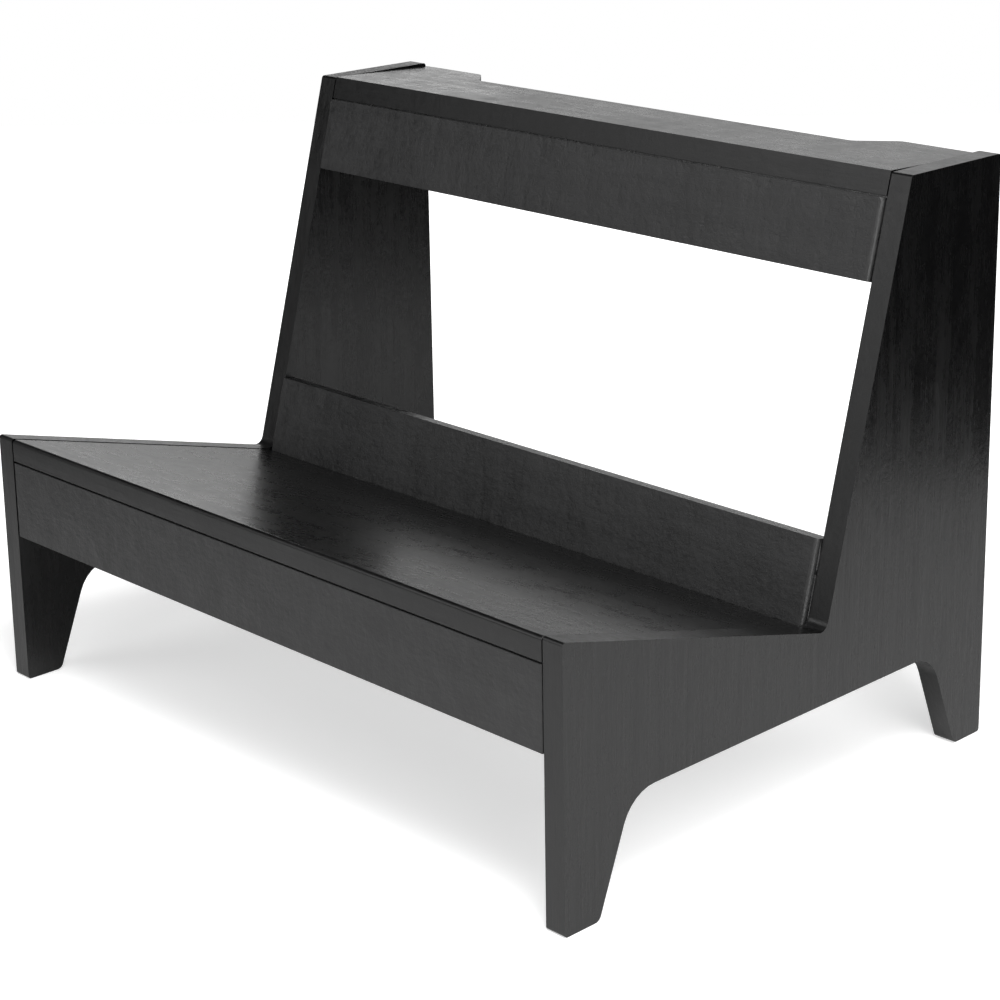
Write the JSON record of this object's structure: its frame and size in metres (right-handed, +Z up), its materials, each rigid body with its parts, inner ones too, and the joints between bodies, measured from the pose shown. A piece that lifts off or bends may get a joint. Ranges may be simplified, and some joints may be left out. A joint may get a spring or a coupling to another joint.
{
  "type": "step stool",
  "caption": "Wide two-level stool of flat boards: cut-out side panels, a raked lower tread, leaning back rails and a narrow notched upper tread.",
  "frame": {"origin": "centre of the footprint, on the floor", "axes": "+X to the stool's right side panel as seen from the front, +Y from the front to the back, +Z up"},
  "size_m": [0.65, 0.4634, 0.4633],
  "materials": {
    "panel_paint": "satin black paint over plywood, faint upright grain",
    "tread_paint": "satin black paint over plywood, faint grain along the board",
    "rail_paint": "satin black paint over wood, faint grain along the board",
    "bolt_steel": "zinc-plated steel",
    "cam_zinc": "cast zinc alloy, bare and matt",
    "beech": "bare beech"
  },
  "bodies": {
    "root": {"side_panel_left": "panel_paint", "side_panel_right": "panel_paint", "lower_tread": "tread_paint", "front_apron": "rail_paint", "lower_back_rail": "rail_paint", "upper_front_rail": "rail_paint", "upper_tread": "tread_paint", "lower_tread_left_front_cam_bolt": "bolt_steel", "lower_tread_left_front_cam_nut": "cam_zinc", "lower_tread_left_back_cam_bolt": "bolt_steel", "lower_tread_left_back_cam_nut": "cam_zinc", "lower_tread_left_middle_dowel": "beech", "lower_tread_right_front_cam_bolt": "bolt_steel", "lower_tread_right_front_cam_nut": "cam_zinc", "lower_tread_right_back_cam_bolt": "bolt_steel", "lower_tread_right_back_cam_nut": "cam_zinc", "lower_tread_right_middle_dowel": "beech", "front_apron_left_lower_cam_bolt": "bolt_steel", "front_apron_left_lower_cam_nut": "cam_zinc", "front_apron_left_upper_dowel": "beech", "front_apron_right_lower_cam_bolt": "bolt_steel", "front_apron_right_lower_cam_nut": "cam_zinc", "front_apron_right_upper_dowel": "beech", "lower_back_rail_left_upper_cam_bolt": "bolt_steel", "lower_back_rail_left_upper_cam_nut": "cam_zinc", "lower_back_rail_left_lower_dowel": "beech", "lower_back_rail_right_upper_cam_bolt": "bolt_steel", "lower_back_rail_right_upper_cam_nut": "cam_zinc", "lower_back_rail_right_lower_dowel": "beech", "upper_front_rail_left_lower_cam_bolt": "bolt_steel", "upper_front_rail_left_lower_cam_nut": "cam_zinc", "upper_front_rail_left_upper_dowel": "beech", "upper_front_rail_right_lower_cam_bolt": "bolt_steel", "upper_front_rail_right_lower_cam_nut": "cam_zinc", "upper_front_rail_right_upper_dowel": "beech", "upper_tread_left_front_cam_bolt": "bolt_steel", "upper_tread_left_front_cam_nut": "cam_zinc", "upper_tread_left_back_dowel": "beech", "upper_tread_right_front_cam_bolt": "bolt_steel", "upper_tread_right_front_cam_nut": "cam_zinc", "upper_tread_right_back_dowel": "beech"}
  },
  "joints": []
}
